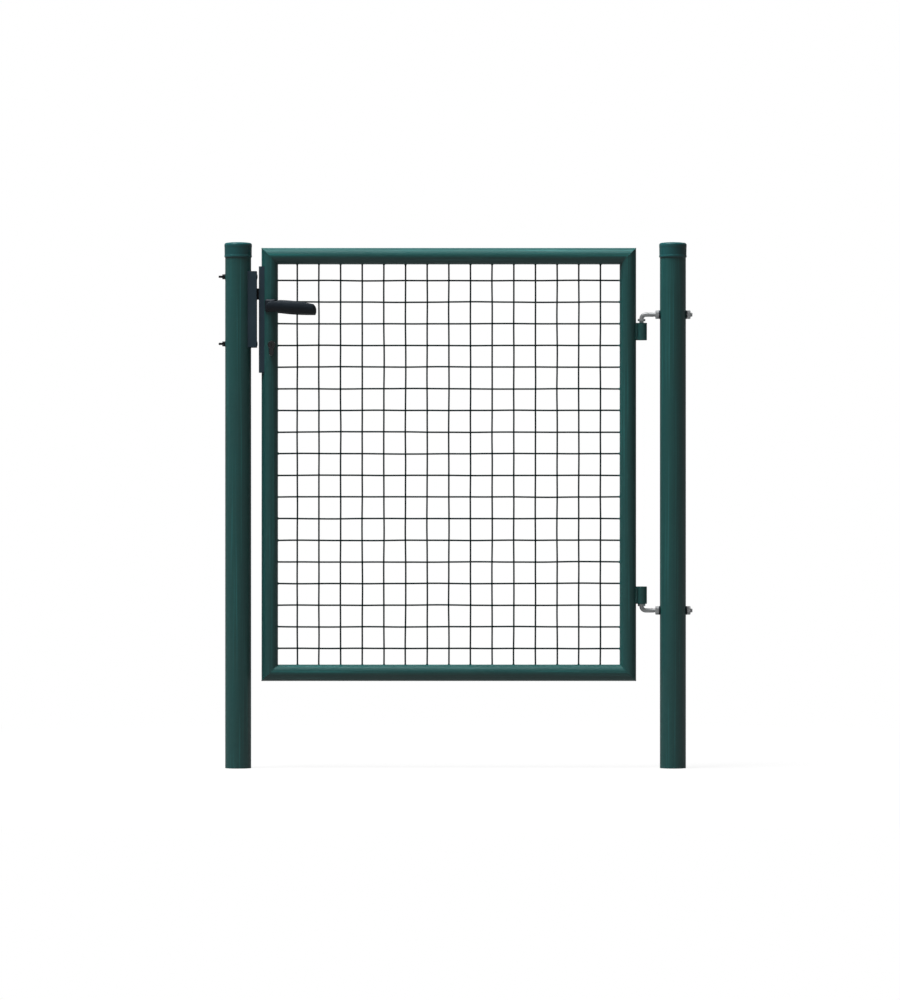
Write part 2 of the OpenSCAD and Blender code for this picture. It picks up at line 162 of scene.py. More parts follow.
class GateFinishes(PropertyGroup):
    """Base colours of the finishes."""

    moss: colour("Moss", "Powder coat on the tubes", (0.011, 0.105, 0.100))
    wire: colour("Wire", "Powder coat on the wires", (0.006, 0.026, 0.027))
    plastic: colour("Plastic", "Moulded post caps", (0.016, 0.130, 0.136))
    slate: colour("Slate", "Coating on the strike box and the forend", (0.060, 0.096, 0.125))
    nylon: colour("Nylon", "Levers and roses", (0.015, 0.022, 0.030))
    steel: colour("Steel", "Blackened latch bolt and strike bolts", (0.030, 0.030, 0.033))
    zinc: colour("Zinc", "Galvanised bolts, nuts and screws", (0.86, 0.88, 0.89))
    nickel: colour("Nickel", "Key cylinder", (0.13, 0.14, 0.145))


class GateStage(PropertyGroup):
    """Camera, lamps and floor."""

    distance: length("Distance", "Distance of the camera from the leaf", 12.0)
    view: length("View", "Height that the camera takes in at the leaf", 2.3095)
    eye: length("Eye", "Height of the camera above the ground", 0.6190)
    centre: length("Centre", "Place of the camera along the leaf", -0.5148)
    floor: length("Floor", "Width of the floor", 60.0)
    overhead: power("Overhead", "Power of the overhead lamp", 1190.0)
    overhead_reach: length("Overhead Reach", "Distance of the overhead lamp from the gate", 9.0)
    overhead_width: length("Overhead Width", "Width of the overhead lamp", 5.0)
    behind: power("Behind", "Power of the lamp behind the leaf", 45.0)
    behind_width: length("Behind Width", "Width of the lamp behind the leaf", 2.0)
    ambient: share("Ambient", "Strength of the light from all sides", 0.01, 2.0)
    mirrored: share("Mirrored", "How bright the floor and the room are in a reflection", 0.14)
    ceiling: share("Ceiling", "How bright the room's top is in a reflection", 0.22)
    shine: share("Shine", "How bright the overhead lamp is in a reflection", 4.0, 20.0)


class GateSettings(PropertyGroup):
    """All settings of the gate."""

    mesh: PointerProperty(type=GateMesh)
    welds: PointerProperty(type=GateWelds)
    hardware: PointerProperty(type=GateHardware)
    finishes: PointerProperty(type=GateFinishes)
    stage: PointerProperty(type=GateStage)


def settings():
    """The settings of the scene that is being built."""
    return bpy.context.scene.gate


# ---- node trees ----


def pick(sockets, key):
    """The socket in use with that name, or the one at that place."""
    if isinstance(key, int):
        return sockets[key]
    return next(socket for socket in sockets if socket.name == key and socket.enabled)


class Value:
    """A node's output. Arithmetic on it adds Math nodes to its tree."""

    def __init__(self, tree, socket):
        self.tree = tree
        self.socket = socket

    def of(self, name):
        """Another output of the same node."""
        return Value(self.tree, pick(self.socket.node.outputs, name))

    def __add__(self, other):
        return self.tree.math("ADD", self, other)

    def __radd__(self, other):
        return self.tree.math("ADD", other, self)

    def __sub__(self, other):
        return self.tree.math("SUBTRACT", self, other)

    def __rsub__(self, other):
        return self.tree.math("SUBTRACT", other, self)

    def __mul__(self, other):
        return self.tree.math("MULTIPLY", self, other)

    def __rmul__(self, other):
        return self.tree.math("MULTIPLY", other, self)

    def __truediv__(self, other):
        return self.tree.math("DIVIDE", self, other)

    def __rtruediv__(self, other):
        return self.tree.math("DIVIDE", other, self)

    def __neg__(self):
        return self.tree.math("MULTIPLY", self, -1.0)

    def __lt__(self, other):
        return self.tree.math("LESS_THAN", self, other)

    def __gt__(self, other):
        return self.tree.math("GREATER_THAN", self, other)


class Tree:
    """A node tree under construction."""

    def __init__(self, data):
        self.data = data

    def add(self, kind, options=None, sockets=None, output=0):
        """Adds a node: first its options, then the values or links of its sockets."""
        node = self.data.nodes.new(kind)
        for name, option in (options or {}).items():
            setattr(node, name, option)
        for key, given in (sockets or {}).items():
            socket = pick(node.inputs, key)
            for item in given if isinstance(given, list) else [given]:
                if isinstance(item, Value):
                    self.data.links.new(item.socket, socket)
                else:
                    socket.default_value = item
        return Value(self, pick(node.outputs, output)) if len(node.outputs) else None

    def math(self, operation, *terms):
        """One Math node."""
        return self.add("ShaderNodeMath", {"operation": operation}, dict(enumerate(terms)))

    def vector(self, operation, *terms):
        """One Vector Math node."""
        return self.add("ShaderNodeVectorMath", {"operation": operation}, dict(enumerate(terms)))

    def joined(self, x, y, z):
        """A vector from its three parts."""
        return self.add("ShaderNodeCombineXYZ", {}, {"X": x, "Y": y, "Z": z})

    def parts(self, vector):
        """The three parts of a vector."""
        split = self.add("ShaderNodeSeparateXYZ", {}, {"Vector": vector})
        return split, split.of("Y"), split.of("Z")

    def span(self, value, low, high, to_low=0.0, to_high=1.0):
        """Stretches the part of a value between low and high, and cuts off the rest."""
        ends = {"From Min": low, "From Max": high, "To Min": to_low, "To Max": to_high}
        return self.add("ShaderNodeMapRange", {"clamp": True}, {"Value": value, **ends})

    def noise(self, vector, scale, detail, roughness=0.5):
        """A cloudy value from 0 to 1."""
        return self.add(
            "ShaderNodeTexNoise",
            {},
            {"Vector": vector, "Scale": scale, "Detail": detail, "Roughness": roughness},
        )


class Shader(Tree):
    """The node tree of a new material."""

    def __init__(self, name):
        self.material = bpy.data.materials.new(name)
        self.material.use_nodes = True
        self.material.node_tree.nodes.clear()
        super().__init__(self.material.node_tree)

    def place(self, scale=(1.0, 1.0, 1.0)):
        """Object coordinates, scaled."""
        own = self.add("ShaderNodeTexCoord", {}, {}, "Object")
        return self.add("ShaderNodeMapping", {}, {"Vector": own, "Scale": scale})

    def blend(self, amount, first, second):
        """A colour between two others."""
        return self.add(
            "ShaderNodeMix",
            {"data_type": "RGBA"},
            {"Factor": amount, "A": first, "B": second},
            "Result",
        )

    def bump(self, height, distance):
        """A normal tilted by a height from 0 to 1."""
        return self.add("ShaderNodeBump", {}, {"Height": height, "Distance": distance})

    def surface(self, **sockets):
        """Ends the tree in a Principled shader. A socket's name has _ for each space."""
        inputs = {name.replace("_", " "): given for name, given in sockets.items()}
        shader = self.add("ShaderNodeBsdfPrincipled", {}, inputs)
        return self.close(shader)

    def close(self, shader):
        """Ends the tree in that shader."""
        self.add("ShaderNodeOutputMaterial", {}, {"Surface": shader})
        return self.material


class Geometry(Tree):
    """A Geometry Nodes tree with named inputs."""

    KINDS = {
        float: "NodeSocketFloat",
        int: "NodeSocketInt",
        tuple: "NodeSocketVector",
        bpy.types.Material: "NodeSocketMaterial",
    }

    def __init__(self, name, inputs):
        super().__init__(bpy.data.node_groups.new(name, "GeometryNodeTree"))
        face = self.data.interface
        face.new_socket("Geometry", in_out="OUTPUT", socket_type="NodeSocketGeometry")
        face.new_socket("Geometry", in_out="INPUT", socket_type="NodeSocketGeometry")
        self.inputs = inputs
        for label, given in inputs.items():
            face.new_socket(label, in_out="INPUT", socket_type=self.KINDS[type(given)])
        self.entry = self.add("NodeGroupInput")

    def __getitem__(self, label):
        return self.entry.of(label)

    def close(self, geometry):
        """Ends the tree in real geometry with its finish."""
        real = self.add("GeometryNodeRealizeInstances", {}, {"Geometry": geometry})
        coated = self.add(
            "GeometryNodeSetMaterial", {}, {"Geometry": real, "Material": self["Finish"]}
        )
        self.add("NodeGroupOutput", {}, {"Geometry": coated})

    def row(self, number, start, step):
        """Evenly spaced points."""
        return self.add(
            "GeometryNodeMeshLine",
            {"mode": "OFFSET"},
            {"Count": number, "Start Location": start, "Offset": step},
        )

    def copies(self, points, instance, scale=(1.0, 1.0, 1.0)):
        """A copy of a shape on each point, as real geometry."""
        placed = self.add(
            "GeometryNodeInstanceOnPoints",
            {},
            {"Points": points, "Instance": instance, "Scale": scale},
        )
        return self.add("GeometryNodeRealizeInstances", {}, {"Geometry": placed})

    def moved(self, geometry, offset):
        """Geometry whose points are shifted."""
        return self.add("GeometryNodeSetPosition", {}, {"Geometry": geometry, "Offset": offset})

    def together(self, *pieces):
        """Several geometries as one."""
        return self.add("GeometryNodeJoinGeometry", {}, {"Geometry": list(pieces)})

    def smooth(self, geometry):
        """Geometry that is shaded smooth."""
        return self.add("GeometryNodeSetShadeSmooth", {}, {"Geometry": geometry})

    def place(self):
        """The place of each point."""
        return self.add("GeometryNodeInputPosition")

    def tube(self, curve, radius, sides, swell=1.0):
        """A round bar along a curve, with smooth sides."""
        circle = self.add(
            "GeometryNodeCurvePrimitiveCircle", {}, {"Resolution": sides, "Radius": radius}
        )
        bar = self.add(
            "GeometryNodeCurveToMesh",
            {},
            {"Curve": curve, "Profile Curve": circle, "Scale": swell, "Fill Caps": True},
        )
        return self.smooth(bar)

    def curve(self):
        """The edges of the base mesh as curves."""
        return self.add("GeometryNodeMeshToCurve", {}, {"Mesh": self["Geometry"]})

    def run(self):
        """How far along its curve each point lies."""
        return self.add("GeometryNodeSplineParameter", {}, {}, "Length")

    def stepped(self, curve, step):
        """A curve with points at an even distance."""
        return self.add(
            "GeometryNodeResampleCurve", {"mode": "LENGTH"}, {"Curve": curve, "Length": step}
        )


def grow(name, tree, base=None):
    """Runs a Geometry Nodes tree, on a base mesh if given, and keeps the result as plain mesh."""
    seed = bpy.data.objects.new(name + "_seed", base or bpy.data.meshes.new(name))
    bpy.context.scene.collection.objects.link(seed)
    modifier = seed.modifiers.new("Grow", "NODES")
    modifier.node_group = tree.data
    for item in tree.data.interface.items_tree:
        if item.in_out == "INPUT" and item.name in tree.inputs:
            modifier[item.identifier] = tree.inputs[item.name]
    graph = bpy.context.evaluated_depsgraph_get()
    mesh = bpy.data.meshes.new_from_object(seed.evaluated_get(graph))
    bpy.data.objects.remove(seed)
    return shown(name, mesh)


# ---- pieces ----


def shown(name, mesh):
    """A new object at the origin with that mesh."""
    mesh.name = name
    piece = bpy.data.objects.new(name, mesh)
    bpy.context.scene.collection.objects.link(piece)
    return piece


def fasten(piece, body, slot, *replaced):
    """Fastens a finished piece to its body, and hides the nodes it stands for. The slot is not
    used.
    """
    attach(piece, body)
    if replaced:
        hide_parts(*replaced)


def lines_mesh(name, lines, closed=False):
    """A mesh of edges along lines of points, which may be closed to loops."""
    points = []
    edges = []
    for line in lines:
        first = len(points)
        points += line
        edges += [(i, i + 1) for i in range(first, len(points) - 1)]
        if closed:
            edges.append((len(points) - 1, first))
    mesh = bpy.data.meshes.new(name)
    mesh.from_pydata(points, edges, [])
    return mesh


def traced(name, node):
    """A merged copy of a CAD node, with whole flat faces."""
    same_place = 0.002 * MM
    same_face = math.radians(0.5)
    source = frame["nodes"][node].data
    mesh = bpy.data.meshes.new(name)
    mesh.from_pydata([v.co for v in source.vertices], [], [p.vertices for p in source.polygons])
    work = bmesh.new()
    work.from_mesh(mesh)
    bmesh.ops.remove_doubles(work, verts=work.verts, dist=same_place)
    bmesh.ops.dissolve_limit(work, angle_limit=same_face, verts=work.verts, edges=work.edges)
    work.to_mesh(mesh)
    work.free()
    return shown(name, mesh)


def settled(piece):
    """Turns a piece's modifiers into plain mesh."""
    graph = bpy.context.evaluated_depsgraph_get()
    mesh = bpy.data.meshes.new_from_object(piece.evaluated_get(graph))
    piece.modifiers.clear()
    piece.data = mesh
    return piece


def softened(name, node, edge):
    """A copy of a CAD node with rounded edges."""
    piece = traced(name, node)
    bevel = piece.modifiers.new("Edges", "BEVEL")
    bevel.width = edge
    bevel.segments = 2
    bevel.limit_method = "ANGLE"
    bevel.angle_limit = math.radians(32)
    bevel.harden_normals = True
    piece.data.shade_smooth()
    return settled(piece)


# ---- finishes ----


def tinted(tone, factor):
    """A colour made lighter or darker, as a socket value."""
    return (*(min(1.0, part * factor) for part in tone), 1.0)


def powder_coat(name, tone, along):
    """Satin powder coat: orange peel, faint clouds, and lines that run along the tube. The lines
    are smoother and bumped, and are also painted lighter as painted highlight streaks.
    """
    t = Shader(name)
    across, lengthways = 260.0, 3.0  # marks in a metre, round the tube and along it
    stretch = tuple(lengthways if axis == along else across for axis in range(3))
    lines_and_painted_streaks = t.span(t.noise(t.place(stretch), scale=1.0, detail=3.0), 0.55, 0.70)
    clouds = t.noise(t.place(), scale=7.0, detail=3.0)
    peel = t.noise(t.place(), scale=520.0, detail=1.0)
    base = t.blend(clouds, tinted(tone, 0.86), tinted(tone, 1.14))
    # painted highlight: along the lines the colour is made much lighter, standing in for reflection
    # streaks along the tube
    base = t.blend(lines_and_painted_streaks * 0.7, base, tinted(tone, 2.2))
    return t.surface(
        Base_Color=base,
        Roughness=0.58 + clouds * 0.12 - lines_and_painted_streaks * 0.14,
        Normal=t.bump(peel * 0.8 + lines_and_painted_streaks * 0.4, 0.10 * MM),
        Specular_IOR_Level=1.0,
        Coat_Weight=0.8,
        Coat_Roughness=0.5,
    )


def wire_coat(name):
    """Powder coat on thin wire, a little cloudy."""
    t = Shader(name)
    tone = settings().finishes.wire
    clouds = t.noise(t.place(), scale=38.0, detail=3.0)
    peel = t.noise(t.place(), scale=700.0, detail=1.0)
    return t.surface(
        Base_Color=t.blend(clouds, tinted(tone, 0.8), tinted(tone, 1.25)),
        Roughness=0.48 + clouds * 0.12,
        Normal=t.bump(peel, 0.06 * MM),
        Specular_IOR_Level=0.12,
    )


def moulded_green(name):
    """Satin moulded plastic with a fine grain."""
    t = Shader(name)
    tone = settings().finishes.plastic
    clouds = t.noise(t.place(), scale=22.0, detail=2.0)
    grain = t.noise(t.place(), scale=1500.0, detail=2.0)
    return t.surface(
        Base_Color=t.blend(clouds, tinted(tone, 0.88), tinted(tone, 1.12)),
        Roughness=0.34 + grain * 0.10,
        Normal=t.bump(grain, 0.05 * MM),
        Specular_IOR_Level=1.0,
    )


def slate_coat(name):
    """Dark matt coating with a fine texture."""
    t = Shader(name)
    tone = settings().finishes.slate
    clouds = t.noise(t.place(), scale=26.0, detail=3.0)
    grain = t.noise(t.place(), scale=1100.0, detail=2.0)
    return t.surface(
        Base_Color=t.blend(clouds, tinted(tone, 0.82), tinted(tone, 1.2)),
        Roughness=0.46 + clouds * 0.14,
        Normal=t.bump(grain, 0.06 * MM),
        Specular_IOR_Level=0.25,
    )


def black_nylon(name):
    """Glass-filled nylon: nearly black, with a spark-eroded grain."""
    t = Shader(name)
    tone = settings().finishes.nylon
    clouds = t.noise(t.place(), scale=30.0, detail=2.0)
    grain = t.noise(t.place(), scale=1300.0, detail=3.0, roughness=0.7)
    return t.surface(
        Base_Color=t.blend(clouds, tinted(tone, 0.85), tinted(tone, 1.2)),
        Roughness=0.34 + grain * 0.16,
        Normal=t.bump(grain, 0.05 * MM),
        Specular_IOR_Level=0.45,
    )


def galvanised(name):
    """Zinc coat: a spangle of dull and bright crystals, with dull patches."""
    t = Shader(name)
    tone = settings().finishes.zinc
    crystals = t.add("ShaderNodeTexVoronoi", {}, {"Vector": t.place(), "Scale": 260.0}, "Color")
    spangle = t.add("ShaderNodeSeparateColor", {}, {"Color": crystals})
    dull = t.span(t.noise(t.place(), scale=70.0, detail=4.0), 0.42, 0.66)
    base = t.blend(spangle, tinted(tone, 0.86), tinted(tone, 1.08))
    base = t.blend(dull * 0.6, base, tinted(tone, 0.72))
    return t.surface(
        Base_Color=base,
        Metallic=0.62 - dull * 0.20,
        Roughness=0.26 + spangle * 0.10 + dull * 0.16,
        Normal=t.bump(t.noise(t.place(), scale=900.0, detail=2.0), 0.04 * MM),
    )


def satin_nickel(name):
    """Turned nickel plate with fine rings round the key's axis."""
    t = Shader(name)
    tone = settings().finishes.nickel
    low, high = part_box("front_key_plug")
    x, _, z = t.parts(t.place())
    x = x - (low.x + high.x) / 2
    z = z - (low.z + high.z) / 2
    from_axis = t.math("SQRT", x * x + z * z)
    rings = 2400.0  # marks in a metre, outwards from the axis
    turned = t.noise(t.joined(from_axis * rings, 0.0, 0.0), scale=1.0, detail=2.0)
    clouds = t.noise(t.place(), scale=60.0, detail=2.0)
    return t.surface(
        Base_Color=t.blend(clouds, tinted(tone, 0.9), tinted(tone, 1.05)),
        Metallic=0.96 - clouds * 0.05,
        Roughness=0.22 + turned * 0.10,
        Normal=t.bump(turned, 0.12 * MM),
    )


def blackened(name):
    """Blackened steel, rubbed brighter in patches."""
    t = Shader(name)
    tone = settings().finishes.steel
    rubbed = t.span(t.noise(t.place(), scale=120.0, detail=4.0), 0.5, 0.7)
    return t.surface(
        Base_Color=t.blend(rubbed * 0.5, tinted(tone, 0.9), tinted(tone, 2.4)),
        Metallic=0.5 + rubbed * 0.3,
        Roughness=0.42 - rubbed * 0.10,
        Normal=t.bump(t.noise(t.place(), scale=1000.0, detail=2.0), 0.03 * MM),
    )


def upright_coat(name):
    """Powder coat on a tube that stands upright."""
    return powder_coat(name, settings().finishes.moss, 2)


def level_coat(name):
    """Powder coat on a tube that lies level."""
    return powder_coat(name, settings().finishes.moss, 0)


FINISHES = {
    "green_coat": upright_coat,
    "green_coat_level": level_coat,
    "wire_coat": wire_coat,
    "green_plastic": moulded_green,
    "slate_coat": slate_coat,
    "black_plastic": black_nylon,
    "black_coat": blackened,
    "zinc": galvanised,
    "nickel": satin_nickel,
}


def finish(slot):
    """The finish of that slot, made the first time that it is asked for."""
    name = slot + "_finish"
    return bpy.data.materials.get(name) or FINISHES[slot](name)


def coat(piece, slot):
    """Gives a piece one finish all over."""
    piece.data.materials.clear()
    piece.data.materials.append(finish(slot))


class GATE_OT_coat_parts(Operator):
    """Give every CAD part its finish"""

    bl_idname = "gate.coat_parts"
    bl_label = "Coat Parts"

    def execute(self, context):
        for node, slot in SLOTS.items():
            level = "_level" if node.endswith("_rail") else ""
            coat(frame["nodes"][node], slot + level)
        return {"FINISHED"}


# ---- the welded mesh ----


def mesh_inputs(slot):
    """The inputs that the mesh and its end welds share."""
    mesh = settings().mesh
    low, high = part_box("mesh_panel")
    middle = (low + high) / 2
    return {
        "Pitch": mesh.pitch,
        "Uprights": mesh.uprights,
        "Levels": mesh.levels,
        "First X": middle.x - mesh.pitch * (mesh.uprights - 1) / 2,
        "First Z": middle.z - mesh.pitch * (mesh.levels - 1) / 2,
        "Low": tuple(low),
        "High": tuple(high),
        "Wander": mesh.wander,
        "Finish": finish(slot),
    }


def strays(t):
    """How far upright wires stray along X, and level ones along Z, at each place."""
    across, along = 60.0, 6.0  # waves in a metre, from wire to wire and along a wire
    apart = 9.0  # keeps the level wires' noise away from the upright wires' noise
    gain = 2.6  # the noise seldom leaves its middle by more than 1 / 2.6
    x, _, z = t.parts(t.place())
    sideways = t.noise(t.joined(x * across, 0.0, z * along), scale=1.0, detail=1.0) - 0.5
    upwards = t.noise(t.joined(x * along, apart, z * across), scale=1.0, detail=1.0) - 0.5
    reach = t["Wander"] * gain
    return sideways * reach, upwards * reach


class GATE_OT_weld_mesh(Operator):
    """Make the round wires and the welds where they cross"""

    bl_idname = "gate.weld_mesh"
    bl_label = "Weld Mesh"

    def execute(self, context):
        sizes = settings().mesh
        t = Geometry(
            "Welded mesh",
            {
                **mesh_inputs("wire_coat"),
                "Wire Radius": sizes.wire / 2,
                "Offset": (sizes.wire - sizes.sunk) / 2,
                "Step": sizes.step,
                "Sides": sizes.sides,
                "Weld Scale": (1.3, 1.05, 1.3),
            },
        )
        low_x, _, low_z = t.parts(t["Low"])
        high_x, _, high_z = t.parts(t["High"])
        sideways, upwards = strays(t)
        offset = t["Offset"]
        along_x = t.joined(t["Pitch"], 0.0, 0.0)
        along_z = t.joined(0.0, 0.0, t["Pitch"])
        rows = (
            (
                t["Uprights"],
                t.joined(t["First X"], -offset, 0.0),
                along_x,
                t.joined(0.0, 0.0, low_z),
                t.joined(0.0, 0.0, high_z),
                t.joined(sideways, 0.0, 0.0),
            ),
            (
                t["Levels"],
                t.joined(0.0, offset, t["First Z"]),
                along_z,
                t.joined(low_x, 0.0, 0.0),
                t.joined(high_x, 0.0, 0.0),
                t.joined(0.0, 0.0, upwards),
            ),
        )
        made = []
        for number, start, step, line_start, line_end, stray in rows:
            line = t.add(
                "GeometryNodeCurvePrimitiveLine", {}, {"Start": line_start, "End": line_end}
            )
            wires = t.copies(t.row(number, start, step), t.stepped(line, t["Step"]))
            made.append(t.tube(t.moved(wires, stray), t["Wire Radius"], t["Sides"]))

        column = t.row(t["Levels"], t.joined(t["First X"], 0.0, t["First Z"]), along_z)
        crossings = t.copies(t.row(t["Uprights"], (0.0, 0.0, 0.0), along_x), column)
        crossings = t.moved(crossings, t.joined(sideways, 0.0, upwards))
        weld = t.add(
            "GeometryNodeMeshUVSphere", {}, {"Segments": 8, "Rings": 5, "Radius": t["Wire Radius"]}
        )
        made.append(t.copies(crossings, t.smooth(weld), t["Weld Scale"]))
        t.close(t.together(*made))
        fasten(grow("welded_mesh", t), "leaf", "wire_coat", "mesh_panel")
        return {"FINISHED"}


class GATE_OT_weld_ends(Operator):
    """Make the welds that hold the wires' ends to the frame"""

    bl_idname = "gate.weld_ends"
    bl_label = "Weld Ends"

    def execute(self, context):
        welds = settings().welds
        t = Geometry(
            "End welds",
            {
                **mesh_inputs("green_coat"),
                "Nugget Radius": welds.nugget / 2,
                "Smallest": 0.82,
                "Largest": 1.15,
                "Lumps": welds.lumps,
                "Seed": 7,
            },
        )
        low_x, _, low_z = t.parts(t["Low"])
        high_x, _, high_z = t.parts(t["High"])
        sideways, upwards = strays(t)
        along_x = t.joined(t["Pitch"], 0.0, 0.0)
        along_z = t.joined(0.0, 0.0, t["Pitch"])
        ends = []
        for height in (low_z, high_z):
            points = t.row(t["Uprights"], t.joined(t["First X"], 0.0, height), along_x)
            ends.append(t.moved(points, t.joined(sideways, 0.0, 0.0)))
        for side in (low_x, high_x):
            points = t.row(t["Levels"], t.joined(side, 0.0, t["First Z"]), along_z)
            ends.append(t.moved(points, t.joined(0.0, 0.0, upwards)))
        blob = t.add(
            "GeometryNodeMeshIcoSphere", {}, {"Radius": t["Nugget Radius"], "Subdivisions": 3}
        )
        size = t.add(
            "FunctionNodeRandomValue",
            {"data_type": "FLOAT"},
            {"Min": t["Smallest"], "Max": t["Largest"], "Seed": t["Seed"]},
            "Value",
        )
        blobs = t.copies(t.together(*ends), t.smooth(blob), size)
        uneven = t.noise(t.place(), scale=260.0, detail=2.0) - 0.5
        normal = t.add("GeometryNodeInputNormal")
        t.close(t.moved(blobs, t.vector("MULTIPLY", normal, uneven * t["Lumps"] * 2.0)))
        fasten(grow("wire_end_welds", t), "leaf", "green_coat")
        return {"FINISHED"}


# ---- weld beads ----


def bead_tree(name, diameter, ripple, sides):
    """A rippled bead along each line of the base mesh."""
    t = Geometry(
        name,
        {
            "Bead Radius": diameter / 2,
            "Ripple": ripple,
            "Ripple Depth": 0.16,
            "Unevenness": 0.3,
            "Sides": sides,
            "Finish": finish("green_coat"),
        },
    )
    line = t.stepped(t.curve(), t["Ripple"] / STEPS)
    crest = t.math("ABSOLUTE", t.math("SINE", t.run() / t["Ripple"] * math.pi))
    groove = t.math("POWER", 1.0 - crest, 2.0)
    uneven = t.noise(t.place(), scale=180.0, detail=1.0) - 0.5
    swell = 1.0 - groove * t["Ripple Depth"] + uneven * t["Unevenness"]
    t.close(t.tube(line, t["Bead Radius"], t["Sides"], swell))
    return t


def barrel_seams(node):
    """Points along the two straight seams between a hinge barrel and the stile."""
    low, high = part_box(node)
    radius = (high.y - low.y) / 2
    seam_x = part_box("hinge_stile")[1].x + 0.4 * MM
    seam_y = radius * 0.6
    margin = 3 * MM
    steps = 6
    run = high.z - low.z - 2 * margin
    heights = [low.z + margin + i * run / steps for i in range(steps + 1)]
    return [[(seam_x, side * seam_y, z) for z in heights] for side in (-1, 1)]


def mitre_seams(proud, bead_radius):
    """Points round each mitred corner of the leaf."""
    left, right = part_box("latch_stile"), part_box("hinge_stile")
    low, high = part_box("bottom_rail"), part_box("top_rail")
    tube = (left[1].y - left[0].y) / 2
    reach = tube + proud - bead_radius
    steps = 72
    turns = [2 * math.pi * i / steps for i in range(steps)]
    return [
        [
            (
                x + towards_x * reach * math.cos(turn),
                reach * math.sin(turn),
                z + towards_z * reach * math.cos(turn),
            )
            for turn in turns
        ]
        for x, towards_x in ((left[0].x + tube, 1), (right[1].x - tube, -1))
        for z, towards_z in ((low[0].z + tube, 1), (high[1].z - tube, -1))
    ]


class GATE_OT_lay_beads(Operator):
    """Lay the weld beads beside the hinge barrels and round the mitred corners"""

    bl_idname = "gate.lay_beads"
    bl_label = "Lay Beads"

    def execute(self, context):
        welds = settings().welds
        lines = barrel_seams("upper_hinge_barrel") + barrel_seams("lower_hinge_barrel")
        seams = lines_mesh("barrel_seams", lines)
        beads = bead_tree("Barrel beads", welds.bead, welds.ripple, sides=14)
        fasten(grow("barrel_weld_beads", beads, seams), "leaf", "green_coat")
        lines = mitre_seams(welds.proud, welds.seam / 2)
        seams = lines_mesh("mitre_seams", lines, closed=True)
        beads = bead_tree("Mitre beads", welds.seam, welds.ripple, sides=8)
        fasten(grow("mitre_weld_beads", beads, seams), "leaf", "green_coat")
        return {"FINISHED"}


# ---- bolts and screws ----


def threaded_bar(name, node, points, sizes):
    """A round bar along a line of points, with a thread along X and a domed head at its far end."""
    t = Geometry(
        name,
        {
            **sizes,
            "Depth": THREAD_DEPTH * sizes["Thread"],
            "Tip Length": 0.3,
            "Tip Width": 0.78,
            "Crest": 0.12,
            "Root": 0.9,
            "Sides": 20,
            "Finish": finish(SLOTS[node]),
        },
    )
    radius = t["Radius"]
    line = t.add(
        "GeometryNodeFilletCurve",
        {"mode": "POLY"},
        {"Curve": t.curve(), "Count": 12, "Radius": t["Bend"]},
    )
    line = t.stepped(line, t["Thread"] / STEPS)
    run = t.run()
    left = t.add("GeometryNodeCurveLength", {}, {"Curve": line}) - run
    nearest_end = t.math("MINIMUM", run, left)
    chamfer = t.span(nearest_end, 0.0, radius * t["Tip Length"], t["Tip Width"], 1.0)
    rise = 1.0 - left / t["Head Height"]
    dome = t.math("SQRT", 1.0 - rise * rise) * t["Head Radius"] / radius
    headed = left < t["Head Height"]
    swell = chamfer * (1.0 - headed) + dome * headed
    bar = t.tube(line, radius, t["Sides"], swell)

    x, y, z = t.parts(t.place())
    height = z - t["Axis Height"]
    turn = t.math("ARCTAN2", y, height) / (2 * math.pi)
    tooth = t.math("PINGPONG", x / t["Thread"] - turn, 0.5) * 2.0
    cut = t.span(tooth, t["Crest"], t["Root"]) * t["Depth"] / radius
    within = (x > t["Thread Start"]) * (x < t["Thread End"])
    inwards = -cut * within
    t.close(t.moved(bar, t.joined(0.0, y * inwards, height * inwards)))
    return grow(name, t, lines_mesh(name, [points]))


def hinge_bolt(name, node, pin_up):
    """A bent hinge bolt: a plain pin, a bend, and a threaded arm through the post."""
    hardware = settings().hardware
    low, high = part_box(node)
    radius = (high.y - low.y) / 2
    pin_x = low.x + radius
    arm_z = low.z + radius if pin_up else high.z - radius
    pin_z = high.z if pin_up else low.z
    spare_thread = 4 * MM
    nut_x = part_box(node.replace("hinge_bolt", "inner_nut"))[0].x
    return threaded_bar(
        name,
        node,
        [(pin_x, 0, pin_z), (pin_x, 0, arm_z), (high.x, 0, arm_z)],
        {
            "Radius": radius,
            "Bend": hardware.hinge_bend,
            "Thread": hardware.hinge_thread,
            "Thread Start": nut_x - spare_thread,
            "Thread End": high.x,
            "Axis Height": arm_z,
            "Head Radius": 0.0,
            "Head Height": 0.0,
        },
    )


def strike_bolt(name, node):
    """A straight bolt with a mushroom head on the strike box."""
    hardware = settings().hardware
    low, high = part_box(node)
    axis_z = (low.z + high.z) / 2
    thread_in_post = 8 * MM
    return threaded_bar(
        name,
        node,
        [(low.x, 0, axis_z), (high.x, 0, axis_z)],
        {
            "Radius": hardware.strike_shank / 2,
            "Bend": 0.0,
            "Thread": hardware.strike_thread,
            "Thread Start": low.x,
            "Thread End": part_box("latch_post")[0].x + thread_in_post,
            "Axis Height": axis_z,
            "Head Radius": (high.z - low.z) / 2,
            "Head Height": high.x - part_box("strike_box")[1].x,
        },
    )


class GATE_OT_cut_bolts(Operator):
    """Make the threaded hinge bolts and strike bolts"""

    bl_idname = "gate.cut_bolts"
    bl_label = "Cut Bolts"

    def execute(self, context):
        for level, pin_up in (("upper", False), ("lower", True)):
            node = level + "_hinge_bolt"
            fasten(hinge_bolt(level + "_bent_bolt", node, pin_up), "posts", SLOTS[node], node)
            node = level + "_strike_bolt"
            fasten(strike_bolt(level + "_mushroom_bolt", node), "posts", SLOTS[node], node)
        return {"FINISHED"}


